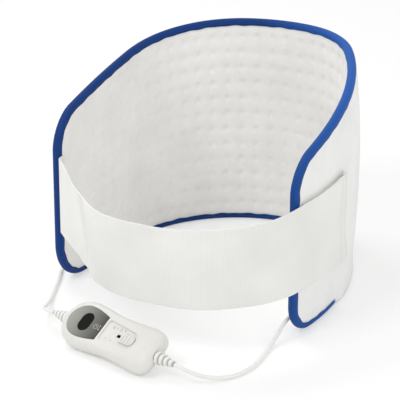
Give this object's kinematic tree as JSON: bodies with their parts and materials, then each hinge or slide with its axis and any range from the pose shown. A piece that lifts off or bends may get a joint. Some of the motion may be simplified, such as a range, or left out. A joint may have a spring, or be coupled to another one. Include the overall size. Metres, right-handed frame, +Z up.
{
  "type": "heating pad with controller",
  "caption": "Waist heating pad of quilted cloth with blue edge binding and an elastic belt, wired to a hand controller with a display and a slide switch.",
  "frame": {"origin": "middle of the footprint of the pad, belt and controller, on the surface the pad stands on", "axes": "+Z up, -Y towards the viewer of the picture, +X to the viewer's right"},
  "size_m": [0.327, 0.4476, 0.2394],
  "materials": {
    "pad_inner_cloth": "soft napped cloth with sewn dots",
    "pad_outer_cloth": "soft napped cloth",
    "belt_cloth": "smooth woven cloth",
    "belt_elastic": "ribbed elastic",
    "fastener_cloth": "hook and loop fastener",
    "binding_tape": "woven blue tape",
    "felt": "needled felt",
    "heater_wire": "satin",
    "white_plastic": "satin",
    "grey_plastic": "satin",
    "dark_plastic": "matte",
    "pale_plastic": "glossy",
    "amber_plastic": "matte",
    "lens_plastic": "polished",
    "board": "satin",
    "cord_rubber": "satin",
    "brown_wire": "satin",
    "blue_wire": "satin",
    "steel": "plain"
  },
  "bodies": {
    "pad": {"inner_cover": "pad_inner_cloth", "outer_cover": "pad_outer_cloth", "heater_felt": "felt", "edge_binding": "binding_tape", "heating_wire_1": "heater_wire", "heating_wire_2": "heater_wire", "thermostat": "dark_plastic", "splice_block": "white_plastic", "lead_gland": "cord_rubber", "loop_patch": "fastener_cloth", "belt_anchor": "belt_cloth", "lower_shell": "white_plastic", "upper_shell": "white_plastic", "fascia": "grey_plastic", "display_lens": "lens_plastic", "display_module": "dark_plastic", "circuit_board": "board", "switch_body": "dark_plastic", "fuse": "pale_plastic", "triac": "dark_plastic", "capacitor": "amber_plastic", "terminal_mains": "board", "terminal_pad": "board", "mains_wire_live": "brown_wire", "mains_wire_neutral": "blue_wire", "pad_wire_1": "heater_wire", "pad_wire_2": "cord_rubber", "pcb_screw_1": "steel", "pcb_screw_2": "steel", "case_screw_1": "steel", "case_screw_2": "steel", "strain_relief_mains": "cord_rubber", "strain_relief_pad": "cord_rubber", "pad_lead": "cord_rubber", "mains_lead": "cord_rubber", "mains_coil": "cord_rubber", "mains_tail": "cord_rubber", "cord_tie": "cord_rubber", "plug_body": "cord_rubber", "plug_pin_1": "steel", "plug_pin_2": "steel"},
    "slider": {"switch_slider": "white_plastic"},
    "belt": {"belt_tab": "belt_cloth", "belt_strap": "belt_elastic", "hook_patch": "fastener_cloth"}
  },
  "joints": [
    {"name": "switch_slide", "type": "slide", "parent": "pad", "child": "slider", "axis": [-0.7314, 0.682, 0], "range_m": [0, 0.012]},
    {"name": "belt_fold", "type": "hinge", "parent": "pad", "child": "belt", "pos_m": [-0.1512, 0.01153, 0.1035], "axis": [0, 0, -1], "range_deg": [0, 100]}
  ]
}
